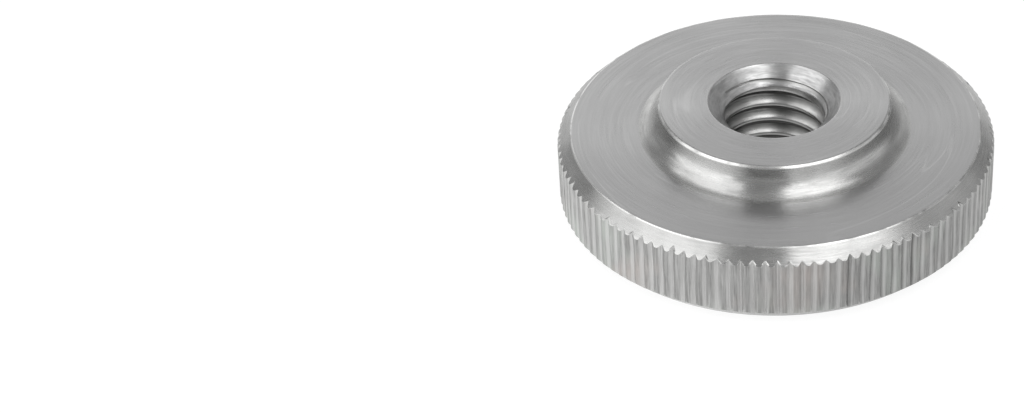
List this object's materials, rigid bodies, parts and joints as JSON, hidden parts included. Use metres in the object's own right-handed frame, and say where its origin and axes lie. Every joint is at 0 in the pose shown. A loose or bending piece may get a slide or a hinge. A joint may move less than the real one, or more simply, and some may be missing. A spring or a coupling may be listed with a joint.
{
  "type": "knurled thumb nut",
  "caption": "Low round thumb nut with a straight-knurled rim, a raised collar and a countersunk threaded hole, tightened by hand on a screw.",
  "frame": {"origin": "centre of the flat side, on the thread's axis", "axes": "+Z along the thread's axis, from the flat side towards the collar; X and Y lie in the plane of the flat side"},
  "size_m": [0.03, 0.03, 0.0077],
  "materials": {
    "stainless_steel": "bare stainless steel, fine turned faces and a straight-knurled rim"
  },
  "bodies": {
    "root": {"thumb_nut": "stainless_steel"}
  },
  "joints": []
}
